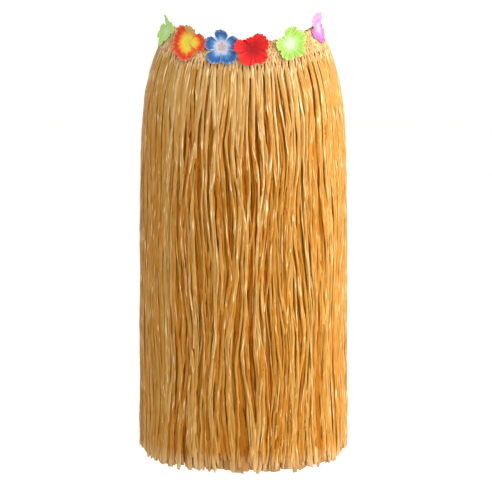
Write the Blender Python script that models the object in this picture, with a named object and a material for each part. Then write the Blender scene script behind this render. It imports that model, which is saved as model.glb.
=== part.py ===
"""Grass skirt: raffia strips hanging from a plaited header on an elastic waistband, with six cloth flowers.

Metres, +Z up, the front faces -Y. The origin is the middle of the waist ring, level with the band at the sides.
Three numbers place every point: the share of the way round the waist (0 at the middle of the back, 0.25 at the
left side, 0.5 at the middle of the front), the drop below the band's top edge, and the distance out from the
middle of the outer grass.
"""
import bpy
import numpy as np

WAIST_HALF_WIDTH = 0.138
WAIST_HALF_DEPTH = 0.101
HIP_HALF_WIDTH = 0.186
HIP_HALF_DEPTH = 0.1335
HIP_DROP = 0.086
HIP_ROUNDING = 1.25
HEM_FLARE = 0.013

FRONT_DIP = 0.036
BACK_DIP = 0.041
DIP_ROUNDING = 1.5
HEM_LEVEL = -0.806

CLEARANCE = 0.0003
SLOPE_ALLOWANCE = 0.00005

BAND_HEIGHT = 0.012
BAND_THICKNESS = 0.0015
RING_COLUMNS = 96

HEADER_HEIGHT = 0.036
HEADER_THICKNESS = 0.0025
HEADER_TOP_DROP = 0.0012
HEADER_ROWS = 4
KNOT_HEIGHT = 0.0009

STRANDS = 120
STRANDS_PER_ARC = 30
ROOT_WIDTH = 0.0046
STRAND_WIDTH = 0.0064
STRAND_THICKNESS = 0.0018
TIP_WIDTH = 0.0022
STRAND_WOBBLE = 0.0009
STRAND_TWIST = np.radians(12)
WAVE_REACH = 0.005
WAVE_LENGTH = 0.42
WAVES_ROUND = 5
LONGEST_CUT = 0.002
SHORTEST_CUT = 0.030

WALL_THICKNESS = 0.0018
WALL_SETBACK = 0.0031
FLUTE_DEPTH = 0.0020
WALL_SHORTER = 0.012
PANELS = 16
PANEL_COLUMNS = RING_COLUMNS // PANELS

# Drops below the band of the rows that the hanging grass is lofted through; each piece adds its own hem.
FALL_DROPS = (0.036, 0.075, 0.120, 0.190, 0.340, 0.540)

PETALS = 5
PETAL_COLUMNS = 5
FLOWER_RADIUS = 0.0325
FLOWER_THICKNESS = 0.0010
PETAL_NOTCH = 0.60
LOBE_ROUNDNESS = 0.36
NOTCH_RISE = 0.45
RING_REACHES = (0.30, 0.68, 1.0)

RAFFIA = "C8933F"
RAFFIA_DEEP = "8A5418"
ELASTIC = "3A2A1C"

# name, degrees round from the front, drop of its middle, turn of the top petal, rise of the petal tips, colour
FLOWERS = (
    ("flower_green", -74.0, 0.0098, 17.0, 0.0060, "A8D070"),
    ("flower_orange", -42.4, 0.0112, -12.0, 0.0050, "EE6A2A"),
    ("flower_blue", -15.8, 0.0068, 4.0, 0.0012, "3A6FB8"),
    ("flower_red", 6.5, 0.0083, 10.0, 0.0086, "E3302A"),
    ("flower_lime", 34.8, 0.0096, 3.0, 0.0045, "A8F060"),
    ("flower_pink", 72.5, 0.0030, -36.0, 0.0060, "F08CF8"),
)

# name of each header arc and the number of its first strand, counted from the middle of the back
OUTER_ARCS = (
    ("outer_grass_left", 15),
    ("outer_grass_front", 45),
    ("outer_grass_right", 75),
    ("outer_grass_back", 105),
)


def half_axes(drop):
    """Half width and half depth: WAIST + (HIP - WAIST) * (1 - exp(-(drop / HIP_DROP) ^ HIP_ROUNDING)) + flare."""
    below = np.maximum(drop, 0)
    eased = 1 - np.exp(-(below / HIP_DROP) ** HIP_ROUNDING)
    half_width = WAIST_HALF_WIDTH + (HIP_HALF_WIDTH - WAIST_HALF_WIDTH) * eased + HEM_FLARE * below
    half_depth = WAIST_HALF_DEPTH + (HIP_HALF_DEPTH - WAIST_HALF_DEPTH) * eased + HEM_FLARE * below
    return half_width, half_depth


def band_level(angle):
    """Height of the band's top edge: level at the sides, dipping to the middle of the front and of the back."""
    dip = np.where(np.cos(angle) > 0, FRONT_DIP, BACK_DIP)
    return -dip * np.abs(np.cos(angle)) ** DIP_ROUNDING


def skirt_point(angle, drop, out):
    """Point at an angle from the front and a drop below the band, moved out along the ellipse's own normal."""
    half_width, half_depth = half_axes(drop)
    normal_x = np.sin(angle) / half_width
    normal_y = -np.cos(angle) / half_depth
    length = np.hypot(normal_x, normal_y)
    x = half_width * np.sin(angle) + out * normal_x / length
    y = -half_depth * np.cos(angle) + out * normal_y / length
    z = band_level(angle) - drop + np.zeros_like(x)
    return np.stack([x, y, z], axis=-1)


def measured_round():
    """Angles from -180 to 180 degrees with the length walked to each along the hip ellipse."""
    angles = np.linspace(-np.pi, np.pi, 1441)
    steps = np.hypot(HIP_HALF_WIDTH * np.diff(np.sin(angles)), HIP_HALF_DEPTH * np.diff(np.cos(angles)))
    walked = np.concatenate([[0], np.cumsum(steps)])
    return angles, walked


ANGLES, WALKED = measured_round()
HIP_GIRTH = WALKED[-1]
GIRTH_PER_WIDTH = HIP_GIRTH / HIP_HALF_WIDTH


def angle_at(share):
    """Angle at a share of the way round, evenly spaced along the cloth; shares outside 0 to 1 go on round."""
    turns = np.floor(share)
    return np.interp((share - turns) * HIP_GIRTH, WALKED, ANGLES) + turns * 2 * np.pi


def share_at(angle):
    return np.interp(angle, ANGLES, WALKED) / HIP_GIRTH


def girth(drop):
    """Length round the skirt at a drop, from its half width, because its ellipses keep nearly one shape."""
    return GIRTH_PER_WIDTH * half_axes(drop)[0]


def fall_length(share):
    """Drop from the band's top edge to the level of the hem."""
    return band_level(angle_at(share)) - HEM_LEVEL


def srgb_to_linear(hex_colour):
    values = np.array([int(hex_colour[start:start + 2], 16) for start in (0, 2, 4)]) / 255
    return np.where(values <= 0.04045, values / 12.92, ((values + 0.055) / 1.055) ** 2.4)


def principled(name, hex_colour, roughness):
    material = bpy.data.materials.new(name)
    material.use_nodes = True
    shader = material.node_tree.nodes["Principled BSDF"]
    shader.inputs["Base Color"].default_value = (*srgb_to_linear(hex_colour), 1)
    shader.inputs["Roughness"].default_value = roughness
    shader.inputs["Metallic"].default_value = 0
    return material


def add_object(name, points, faces, material):
    """One named closed solid, shaded smooth but for its sharp edges."""
    mesh = bpy.data.meshes.new(name)
    mesh.from_pydata(points.tolist(), [], faces)
    mesh.materials.append(material)
    mesh.shade_smooth()
    mesh.set_sharp_from_angle(angle=np.radians(40))
    placed = bpy.data.objects.new(name, mesh)
    bpy.context.scene.collection.objects.link(placed)
    return placed


def quads_between(upper, lower):
    """Quads that join two rows of point numbers, facing out where the rows run left to right seen from outside."""
    return np.stack([upper[:-1], lower[:-1], lower[1:], upper[1:]], axis=-1).reshape(-1, 4).tolist()


def wall_faces(outer, inner, closed):
    """Faces of a wall between two grids of point numbers, rows from the top down and columns round the waist."""
    if closed:
        outer = np.concatenate([outer, outer[:, :1]], axis=1)
        inner = np.concatenate([inner, inner[:, :1]], axis=1)
    faces = []
    for row in range(len(outer) - 1):
        faces += quads_between(outer[row], outer[row + 1])
        faces += quads_between(inner[row + 1], inner[row])
    faces += quads_between(inner[0], outer[0])
    faces += quads_between(outer[-1], inner[-1])
    if not closed:
        faces += quads_between(outer[:, 0], inner[:, 0])
        faces += quads_between(inner[:, -1], outer[:, -1])
    return faces


def numbered(rows, columns, start=0):
    return np.arange(start, start + rows * columns).reshape(rows, columns)


def make_waistband(material):
    """Flat elastic, on edge, in a ring just inside the header."""
    shares = np.arange(RING_COLUMNS) / RING_COLUMNS
    drops = np.array([0, BAND_HEIGHT])
    face = -HEADER_THICKNESS / 2 - CLEARANCE - SLOPE_ALLOWANCE
    angle, drop = np.meshgrid(angle_at(shares), drops)
    points = np.concatenate([
        skirt_point(angle, drop, face).reshape(-1, 3),
        skirt_point(angle, drop, face - BAND_THICKNESS).reshape(-1, 3),
    ])
    outer = numbered(len(drops), RING_COLUMNS)
    inner = numbered(len(drops), RING_COLUMNS, outer.size)
    add_object("waistband", points, wall_faces(outer, inner, closed=True), material)


def make_under_panel(number, material, random):
    """Massed grass behind the outer strands: a fluted wall with a jagged hem, one share of the way round."""
    columns = number * PANEL_COLUMNS + np.arange(PANEL_COLUMNS + 1)
    shares = columns / RING_COLUMNS
    seam = CLEARANCE / 2 / girth(0)
    shares[0] += seam
    shares[-1] -= seam
    jagged = WALL_SHORTER + WALL_SHORTER * (columns % 2) * random.uniform(0.4, 1.0, len(columns))
    rows = (BAND_HEIGHT + CLEARANCE, *FALL_DROPS)
    drops = np.concatenate([np.tile(np.array(rows)[:, None], len(columns)), [fall_length(shares) - jagged]])
    top_face = -HEADER_THICKNESS / 2 - CLEARANCE - SLOPE_ALLOWANCE
    hanging = np.clip((drops - FALL_DROPS[0]) / (FALL_DROPS[1] - FALL_DROPS[0]), 0, 1)
    fluted = np.clip((drops - FALL_DROPS[0]) / (FALL_DROPS[2] - FALL_DROPS[0]), 0, 1)
    face = top_face * (1 - hanging) - WALL_SETBACK * hanging - FLUTE_DEPTH * fluted * (columns % 2)
    angle = np.tile(angle_at(shares), (len(drops), 1))
    points = np.concatenate([
        skirt_point(angle, drops, face).reshape(-1, 3),
        skirt_point(angle, drops, face - WALL_THICKNESS).reshape(-1, 3),
    ])
    outer = numbered(*drops.shape)
    inner = numbered(*drops.shape, outer.size)
    add_object(f"under_grass_{number + 1:02d}", points, wall_faces(outer, inner, closed=False), material)


def strand_sections(strand, random):
    """Four corners of a strand at each row below the header: (rows, corners, 3).

    The middle line is share + WAVE_REACH * sin(2 pi (drop / WAVE_LENGTH + WAVES_ROUND * share)) / girth, a slow
    wave that neighbours share, so the strands sway together and stay apart.
    """
    share = (strand + 0.5) / STRANDS
    length = fall_length(share) - random.uniform(LONGEST_CUT, SHORTEST_CUT)
    drop = np.array([*FALL_DROPS[1:], length])
    free = np.clip((drop - HEADER_HEIGHT) / FALL_DROPS[3], 0, 1)
    wave = WAVE_REACH * free * np.sin(2 * np.pi * (drop / WAVE_LENGTH + WAVES_ROUND * share))
    middle = share + wave / girth(drop)
    width = np.full(len(drop), STRAND_WIDTH)
    width[0] = (ROOT_WIDTH + STRAND_WIDTH) / 2
    width[-1] = TIP_WIDTH
    twist = random.uniform(-STRAND_TWIST, STRAND_TWIST, len(drop))
    wobble = random.uniform(-STRAND_WOBBLE, STRAND_WOBBLE, len(drop))
    sides = np.array([-1, 1, 1, -1]) * width[:, None] / 2
    depths = np.array([1, 1, -1, -1]) * STRAND_THICKNESS / 2
    along = sides * np.cos(twist)[:, None]
    out = wobble[:, None] + sides * np.sin(twist)[:, None] + depths
    corner_drop = np.repeat(drop[:, None], 4, axis=1)
    return skirt_point(angle_at(middle[:, None] + along / girth(drop)[:, None]), corner_drop, out)


def make_outer_arc(name, first_strand, material, random):
    """A quarter of the plaited header with its strands, which are drawn down out of its lower edge."""
    strands = np.arange(first_strand, first_strand + STRANDS_PER_ARC)
    seam = CLEARANCE / 2 / girth(0)
    half_root = ROOT_WIDTH / 2 / girth(HEADER_HEIGHT)
    edges = ((strands + 0.5) / STRANDS)[:, None] + half_root * np.array([-1, 1])
    shares = np.concatenate([
        [first_strand / STRANDS + seam],
        edges.ravel(),
        [(first_strand + STRANDS_PER_ARC) / STRANDS - seam],
    ])
    knots = np.concatenate([[0], np.repeat(strands % 2 * 2 - 1, 2), [0]])
    drops = np.linspace(HEADER_TOP_DROP, HEADER_HEIGHT, HEADER_ROWS)
    weave = np.array([0, 1, -1, 0])
    face = HEADER_THICKNESS / 2 + KNOT_HEIGHT / 2 * (1 + weave[:, None] * knots) * (weave[:, None] != 0)
    angle, drop = np.meshgrid(angle_at(shares), drops)
    front = skirt_point(angle, drop, face)
    back = skirt_point(angle[[0, -1]], drop[[0, -1]], -HEADER_THICKNESS / 2)
    outer = numbered(*angle.shape)
    inner = numbered(2, len(shares), outer.size)

    faces = []
    for row in range(HEADER_ROWS - 1):
        faces += quads_between(outer[row], outer[row + 1])
    faces += quads_between(inner[1], inner[0])
    faces += quads_between(inner[0], outer[0])
    faces += quads_between(outer[-1], inner[-1])[::2]
    faces.append([outer[0, 0], inner[0, 0], inner[1, 0], *outer[:0:-1, 0]])
    faces.append([*outer[:, -1], inner[1, -1], inner[0, -1]])

    points = [front.reshape(-1, 3), back.reshape(-1, 3)]
    next_number = outer.size + inner.size
    for place, strand in enumerate(strands):
        sections = strand_sections(strand, random)
        left = 1 + 2 * place
        root = [outer[-1, left], outer[-1, left + 1], inner[-1, left + 1], inner[-1, left]]
        rings = np.vstack([root, numbered(len(sections), 4, next_number)])
        rings = np.concatenate([rings, rings[:, :1]], axis=1)
        for upper, lower in zip(rings[:-1], rings[1:]):
            faces += quads_between(upper, lower)
        faces.append(rings[-1, 3::-1].tolist())
        points.append(sections.reshape(-1, 3))
        next_number += sections.size // 3
    add_object(name, np.concatenate(points), faces, material)


def make_flower(name, degrees, drop, turn, rise, material):
    """Five round petals in one thin shell, bent over the header, its rim at R (NOTCH + (1 - NOTCH) lobe)."""
    columns = PETALS * PETAL_COLUMNS
    top_petal = np.radians(90 + turn)
    around = top_petal + np.pi / PETALS + 2 * np.pi * np.arange(columns) / columns
    lobe = np.abs(np.cos(PETALS / 2 * (around - top_petal))) ** LOBE_ROUNDNESS
    reach = np.array(RING_REACHES)[:, None]
    radius = FLOWER_RADIUS * reach * (PETAL_NOTCH + (1 - PETAL_NOTCH) * lobe)
    seat = HEADER_THICKNESS / 2 + KNOT_HEIGHT + CLEARANCE + SLOPE_ALLOWANCE
    under = seat + rise * reach ** 2 * (NOTCH_RISE + (1 - NOTCH_RISE) * lobe)
    across = np.concatenate([[0], (radius * np.cos(around)).ravel()])
    up = np.concatenate([[0], (radius * np.sin(around)).ravel()])
    under = np.concatenate([[seat], under.ravel()])
    angle = angle_at(share_at(np.radians(degrees)) + across / girth(drop))
    points = np.concatenate([
        skirt_point(angle, drop - up, under + FLOWER_THICKNESS),
        skirt_point(angle, drop - up, under),
    ])
    top = numbered(len(RING_REACHES), columns, 1)
    top = np.concatenate([top, top[:, :1]], axis=1)
    bottom = top + len(across)
    faces = [[0, first, second] for first, second in zip(top[0, :-1], top[0, 1:])]
    faces += [[len(across), second, first] for first, second in zip(bottom[0, :-1], bottom[0, 1:])]
    for ring in range(len(RING_REACHES) - 1):
        faces += quads_between(top[ring], top[ring + 1])
        faces += quads_between(bottom[ring + 1], bottom[ring])
    faces += quads_between(top[-1], bottom[-1])
    add_object(name, points, faces, material)


def main():
    for old in list(bpy.data.objects):
        bpy.data.objects.remove(old, do_unlink=True)
    random = np.random.default_rng(80)
    raffia = principled("raffia_strip", RAFFIA, 0.35)
    under_raffia = principled("raffia_under_layer", RAFFIA_DEEP, 0.45)
    make_waistband(principled("elastic_webbing", ELASTIC, 0.8))
    for number in range(PANELS):
        make_under_panel(number, under_raffia, random)
    for name, first_strand in OUTER_ARCS:
        make_outer_arc(name, first_strand, raffia, random)
    for name, degrees, drop, turn, rise, colour in FLOWERS:
        make_flower(name, degrees, drop, turn, rise, principled(f"{name}_cloth", colour, 0.7))


main()
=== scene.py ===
# %% [markdown]
# # A raffia grass skirt
#
# The real thing is a party skirt: several hundred strips of crinkled plastic raffia, folded over an elastic
# waistband, bound into a plaited header and left to hang to a ragged hem, with six cloth flowers sewn along
# the front. It is shown filled out, as worn, with nobody in it.
#
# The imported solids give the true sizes. This script dresses them: every strip, knot, thread and petal below
# is a surface worked out with numpy in the same metres and the same frame, so nothing has to be fitted
# afterwards.

import bpy
import numpy as np
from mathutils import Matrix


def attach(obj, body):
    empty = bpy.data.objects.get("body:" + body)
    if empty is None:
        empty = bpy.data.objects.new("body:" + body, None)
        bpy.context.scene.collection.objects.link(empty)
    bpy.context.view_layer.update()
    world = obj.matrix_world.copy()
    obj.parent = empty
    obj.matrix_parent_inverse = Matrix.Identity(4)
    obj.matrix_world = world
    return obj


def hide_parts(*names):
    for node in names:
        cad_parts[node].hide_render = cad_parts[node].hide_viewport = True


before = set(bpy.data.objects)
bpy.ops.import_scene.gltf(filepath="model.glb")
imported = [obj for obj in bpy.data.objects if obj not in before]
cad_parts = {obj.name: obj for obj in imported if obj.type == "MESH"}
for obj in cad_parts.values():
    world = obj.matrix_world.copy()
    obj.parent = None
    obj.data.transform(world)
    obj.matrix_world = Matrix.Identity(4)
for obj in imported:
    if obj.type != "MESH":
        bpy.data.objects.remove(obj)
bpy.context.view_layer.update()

# %% [markdown]
# ## The shape that everything hangs on
#
# Think of the skirt as cloth wrapped round a tube whose cross-section is an ellipse. Any place on it is
# then three numbers: the share of the way round (0 at the middle of the back, 0.5 at the middle of the
# front), the drop below the band, and how far out it stands. One function turns those into X, Y and Z, and
# every piece goes through it, so strips, header, band and flowers all follow the same waist and hips.

# %% Sizes of the skirt, as in the solids
WAIST_HALF_WIDTH = 0.138
WAIST_HALF_DEPTH = 0.101
HIP_HALF_WIDTH = 0.186
HIP_HALF_DEPTH = 0.1335
HIP_DROP = 0.086
HIP_ROUNDING = 1.25
HEM_FLARE = 0.013
FRONT_DIP = 0.036
BACK_DIP = 0.041
DIP_ROUNDING = 1.5
HEM_LEVEL = -0.806
BAND_HEIGHT = 0.012
HEADER_HEIGHT = 0.036


def half_axes(drop):
    """Half width and depth at a drop.

    waist + (hip - waist) (1 - exp(-(drop / HIP_DROP) ^ HIP_ROUNDING)) + HEM_FLARE drop
    """
    below = np.maximum(drop, 0)
    eased = 1 - np.exp(-(below / HIP_DROP) ** HIP_ROUNDING)
    half_width = WAIST_HALF_WIDTH + (HIP_HALF_WIDTH - WAIST_HALF_WIDTH) * eased + HEM_FLARE * below
    half_depth = WAIST_HALF_DEPTH + (HIP_HALF_DEPTH - WAIST_HALF_DEPTH) * eased + HEM_FLARE * below
    return half_width, half_depth


def band_level(angle):
    """Height of the band's top edge: -dip |cos angle| ^ DIP_ROUNDING, which is zero at the sides."""
    dip = np.where(np.cos(angle) > 0, FRONT_DIP, BACK_DIP)
    return -dip * np.abs(np.cos(angle)) ** DIP_ROUNDING


def skirt_point(angle, drop, out):
    """Ellipse point (W sin a, -D cos a, level - drop), moved out along the normal (sin a / W, -cos a / D)."""
    half_width, half_depth = half_axes(drop)
    normal_x, normal_y = np.sin(angle) / half_width, -np.cos(angle) / half_depth
    length = np.hypot(normal_x, normal_y)
    x = half_width * np.sin(angle) + out * normal_x / length
    y = -half_depth * np.cos(angle) + out * normal_y / length
    return np.stack(np.broadcast_arrays(x, y, band_level(angle) - drop), axis=-1)


ROUND_POINTS = 1441
round_angles = np.linspace(-np.pi, np.pi, ROUND_POINTS)
round_steps = np.hypot(
    HIP_HALF_WIDTH * np.diff(np.sin(round_angles)),
    HIP_HALF_DEPTH * np.diff(np.cos(round_angles)),
)
round_lengths = np.concatenate([[0], np.cumsum(round_steps)])


def angle_at(share):
    """Angle from the front at a share of the way round, with the shares spaced evenly along the cloth."""
    turns = np.floor(share)
    return np.interp((share - turns) * round_lengths[-1], round_lengths, round_angles) + turns * 2 * np.pi


def share_at(angle):
    """Share of the way round at an angle from the front, the inverse of angle_at."""
    return np.interp(angle, round_angles, round_lengths) / round_lengths[-1]


def girth(drop):
    """Length round the skirt at a drop, in proportion to its half width."""
    return round_lengths[-1] / HIP_HALF_WIDTH * half_axes(drop)[0]


def fall_length(share):
    """Drop from the band's top edge to the level of the hem."""
    return band_level(angle_at(share)) - HEM_LEVEL


print(f"waist {girth(0) * 100:.0f} cm round, hips {girth(0.2) * 100:.0f} cm")
print(f"front strips {fall_length(0.5) * 100:.0f} cm")

# %% [markdown]
# ## Camera, floor and light
#
# The photograph was taken from about waist height, 2.7 m in front of the skirt, tilted down a little: the
# hem curves down in the middle like a smile, which only a view from above the hem gives. A long lens keeps
# the sides straight. The floor and world are nearly white, as on a cut-out, and a large soft light on the
# right makes the right side warmer and brighter than the left.

# %% Camera
IMAGE_SIDE = 492
FOCAL_PIXELS = 1466
SENSOR_MM = 36
CAMERA_DISTANCE = 2.70
CAMERA_SIDE = 0.0046
SKIRT_CENTRE_ROW = 23
tilt = np.arctan((IMAGE_SIDE / 2 - SKIRT_CENTRE_ROW) / FOCAL_PIXELS)

camera_data = bpy.data.cameras.new("photo_camera")
camera_data.sensor_width = SENSOR_MM
camera_data.lens = FOCAL_PIXELS / IMAGE_SIDE * SENSOR_MM
camera = bpy.data.objects.new("photo_camera", camera_data)
camera.location = (CAMERA_SIDE, -CAMERA_DISTANCE, 0)
camera.rotation_euler = (np.pi / 2 - tilt, 0, 0)
bpy.context.scene.collection.objects.link(camera)
bpy.context.scene.camera = camera
print(f"lens {camera_data.lens:.0f} mm, tilted down {np.degrees(tilt):.1f} degrees")

# %% A colour helper and a node helper
def colour(hex_value):
    """sRGB hex to linear: v / 12.92 below 0.04045, else ((v + 0.055) / 1.055) ^ 2.4."""
    values = np.array([int(hex_value[start:start + 2], 16) for start in (0, 2, 4)]) / 255
    linear = np.where(values <= 0.04045, values / 12.92, ((values + 0.055) / 1.055) ** 2.4)
    return (*linear.tolist(), 1)


def add_node(tree, kind, sockets=None, **settings):
    """Adds a node, applies its settings, and links or sets each socket named in sockets."""
    made = tree.nodes.new(kind)
    for name, value in settings.items():
        setattr(made, name, value)
    for name, value in (sockets or {}).items():
        if isinstance(value, bpy.types.NodeSocket):
            tree.links.new(value, made.inputs[name])
        else:
            made.inputs[name].default_value = value
    return made


# %% Floor, world and lights
FLOOR_LEVEL = -1.02
FLOOR_RADIUS = 14
FLOOR_CORNERS = 96

floor_mesh = bpy.data.meshes.new("studio_floor")
floor_turn = 2 * np.pi * np.arange(FLOOR_CORNERS) / FLOOR_CORNERS
floor_points = np.stack([
    FLOOR_RADIUS * np.cos(floor_turn),
    FLOOR_RADIUS * np.sin(floor_turn),
    np.full(FLOOR_CORNERS, FLOOR_LEVEL),
], axis=-1)
floor_mesh.from_pydata(floor_points.tolist(), [], [list(range(FLOOR_CORNERS))])
floor = bpy.data.objects.new("studio_floor", floor_mesh)
bpy.context.scene.collection.objects.link(floor)
floor_paint = bpy.data.materials.new("matt_white_studio_paint")
floor_paint.use_nodes = True
paint_shader = floor_paint.node_tree.nodes["Principled BSDF"]
paint_shader.inputs["Base Color"].default_value = colour("F6F5F3")
paint_shader.inputs["Roughness"].default_value = 0.9
floor_mesh.materials.append(floor_paint)

WORLD_STRENGTH = 1.1
world = bpy.data.worlds.new("white_studio")
bpy.context.scene.world = world
world.use_nodes = True
sky = world.node_tree.nodes["Background"]
sky.inputs["Color"].default_value = colour("FFFFFF")
sky.inputs["Strength"].default_value = WORLD_STRENGTH
bpy.context.scene.view_settings.view_transform = "Standard"


def soft_light(name, place, aim, side, watts, tint):
    """A square area light at a place, turned so that it shines at the aim."""
    data = bpy.data.lights.new(name, "AREA")
    data.size = side
    data.energy = watts
    data.color = colour(tint)[:3]
    lamp = bpy.data.objects.new(name, data)
    place, aim = np.array(place), np.array(aim)
    away = (place - aim) / np.linalg.norm(place - aim)
    lamp.location = place
    lamp.rotation_euler = (np.arccos(away[2]), 0, np.arctan2(away[0], -away[1]))
    bpy.context.scene.collection.objects.link(lamp)


soft_light("key_right", (3.0, -1.10, 0.5), (0, 0, -0.35), 3.6, 232, "FFF4E0")
soft_light("top_front", (0.4, -1.5, 2.0), (0, 0, 0.1), 0.35, 12, "FFFFFF")
soft_light("sparkle_front", (0.7, -2.7, 0.9), (0, 0, -0.3), 0.08, 9, "FFFFFF")
print("three lights and a white world of strength", WORLD_STRENGTH)

# %% [markdown]
# ## How a strip becomes a mesh
#
# A strip of raffia is a flattened, slightly arched ribbon. It could be a curve with a bevel, but then every
# strip would be the same all along. Here a small closed profile is carried down a path instead: at each
# step it can be wider, turned or more arched. All the strips of a piece are worked out together, as one
# array with the axes strip, ring, corner and XYZ.

# %% Profiles carried along many paths, as one mesh
FOLD_TO_ONE = 2.6


def carry_profiles(share, drop, out, width, thickness, arch, fold, turn, corners):
    """Points (strips, rings, corners, 3) of ribbons.

    The profile at each ring is the closed outline x = cos q, y = arch (1 - x^2) + 2.6 fold (x - x^3)
    + (thickness / 2) sin q, turned by `turn`: arch bows it, fold bends it into an S, and 2.6 makes the S
    reach the fold's own size. Its x runs round the skirt and its y along the normal of the path in the
    plane of drop and out.
    """
    step_drop, step_out = np.gradient(drop, axis=1), np.gradient(out, axis=1)
    step = np.hypot(step_drop, step_out)
    q = np.pi - 2 * np.pi * np.arange(corners) / corners
    flat_x, flat_y = np.cos(q), np.sin(q)
    x = width[..., None] / 2 * flat_x
    y = arch[..., None] * (1 - flat_x ** 2) + FOLD_TO_ONE * fold[..., None] * (flat_x - flat_x ** 3)
    y = y + thickness[..., None] / 2 * flat_y
    turned_x = x * np.cos(turn[..., None]) - y * np.sin(turn[..., None])
    turned_y = x * np.sin(turn[..., None]) + y * np.cos(turn[..., None])
    corner_drop = drop[..., None] - turned_y * (step_out / step)[..., None]
    corner_out = out[..., None] + turned_y * (step_drop / step)[..., None]
    corner_share = share[..., None] + turned_x / girth(drop)[..., None]
    return skirt_point(angle_at(corner_share), corner_drop, corner_out)


def new_object(name, points, face_corners, face_starts, corner_uv, material, tone=None):
    """A smooth mesh object at the origin, from flat arrays of points, face corners and face starts."""
    mesh = bpy.data.meshes.new(name)
    mesh.vertices.add(len(points))
    mesh.vertices.foreach_set("co", points.astype(np.float32).ravel())
    mesh.loops.add(len(face_corners))
    mesh.loops.foreach_set("vertex_index", face_corners.astype(np.int32))
    mesh.polygons.add(len(face_starts))
    mesh.polygons.foreach_set("loop_start", face_starts.astype(np.int32))
    mesh.uv_layers.new(name="UVMap").data.foreach_set("uv", corner_uv.astype(np.float32).ravel())
    if tone is not None:
        kept = mesh.attributes.new("tone", "FLOAT", "POINT")
        kept.data.foreach_set("value", tone.astype(np.float32).ravel())
    mesh.update(calc_edges=True)
    mesh.shade_smooth()
    mesh.materials.append(material)
    made = bpy.data.objects.new(name, mesh)
    bpy.context.scene.collection.objects.link(made)
    return made


def ribbon_mesh(name, points, drop, width, tone, material):
    """Joins the rings of each ribbon with quads and closes its ends. UV is metres: across, and along."""
    strips, rings, corners, _ = points.shape
    number = np.arange(strips * rings * corners).reshape(strips, rings, corners)
    beside = np.roll(number, -1, axis=2)
    quads = np.stack([number[:, :-1], number[:, 1:], beside[:, 1:], beside[:, :-1]], axis=-1)
    caps = np.concatenate([number[:, 0], number[:, -1, ::-1]])
    face_corners = np.concatenate([quads.ravel(), caps.ravel()])
    quad_count = quads.size // 4
    cap_starts = 4 * quad_count + corners * np.arange(len(caps))
    face_starts = np.concatenate([4 * np.arange(quad_count), cap_starts])

    around = np.arange(corners + 1) / corners * 2
    across = width[..., None] * around
    along = np.repeat(drop[..., None], corners + 1, axis=2)
    uv = np.stack([across, along], axis=-1)
    quad_uv = np.stack([uv[:, :-1, :-1], uv[:, 1:, :-1], uv[:, 1:, 1:], uv[:, :-1, 1:]], axis=3)
    cap_uv = np.concatenate([uv[:, 0, :-1], uv[:, -1, -2::-1]])
    corner_uv = np.concatenate([quad_uv.reshape(-1, 2), cap_uv.reshape(-1, 2)])
    point_tone = np.repeat(tone, rings * corners)
    flat_points = points.reshape(-1, 3)
    made = new_object(name, flat_points, face_corners, face_starts, corner_uv, material, point_tone)
    triangles = len(made.data.loops) - 2 * len(made.data.polygons)
    print(f"{name}: {strips} ribbons, {triangles} triangles")
    return made


# %% [markdown]
# ## Raffia
#
# The strips are polypropylene film, slit and crinkled so that it looks like palm fibre. It is smooth
# plastic, but wrinkled so finely that its highlight breaks up into short dashes. Strips differ from each
# other, from pale cream to brown. Short pale dashes are painted along the strips as painted glints, more
# of them near the waist, and the cut ends look paler because the film is roughened there. The tone also
# moves with height: painted light at the top of the face strips, painted shade at the top of the strips
# behind them. A colour ramp read by a value kept on each strip gives the first, noise stretched along the
# strip gives the painted glints, and the height above the floor gives the rest. Light passes through the
# thin film, so a little of it is scattered below the surface.

# %% The raffia material
IOR_POLYPROPYLENE = 1.49
WRINKLE_ACROSS_MM = 3.4
WRINKLE_ALONG_MM = 26
WRINKLE_DEPTH_MM = 0.7
# pale dashes painted on as glints: their size across and along the strip, in mm
GLINT_ACROSS_MM = 2.0
GLINT_ALONG_MM = 34
WRINKLE_OF_TONE = 90.0
GLINT_OF_TONE = 57.0
WRINKLE_SPREAD = 0.6
# painted light and shade by height: from TOP_LEVEL down to DEEP_LEVEL the tone moves from each material's
# shift at the top to DEEP_SHIFT
TOP_LEVEL = -0.06
DEEP_LEVEL = -0.36
DEEP_SHIFT = -0.06
PALE_END_LENGTH = 0.04
# the band of noise values in which the painted glints show
GLINT_FROM = 0.57
GLINT_TO = 0.69


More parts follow.
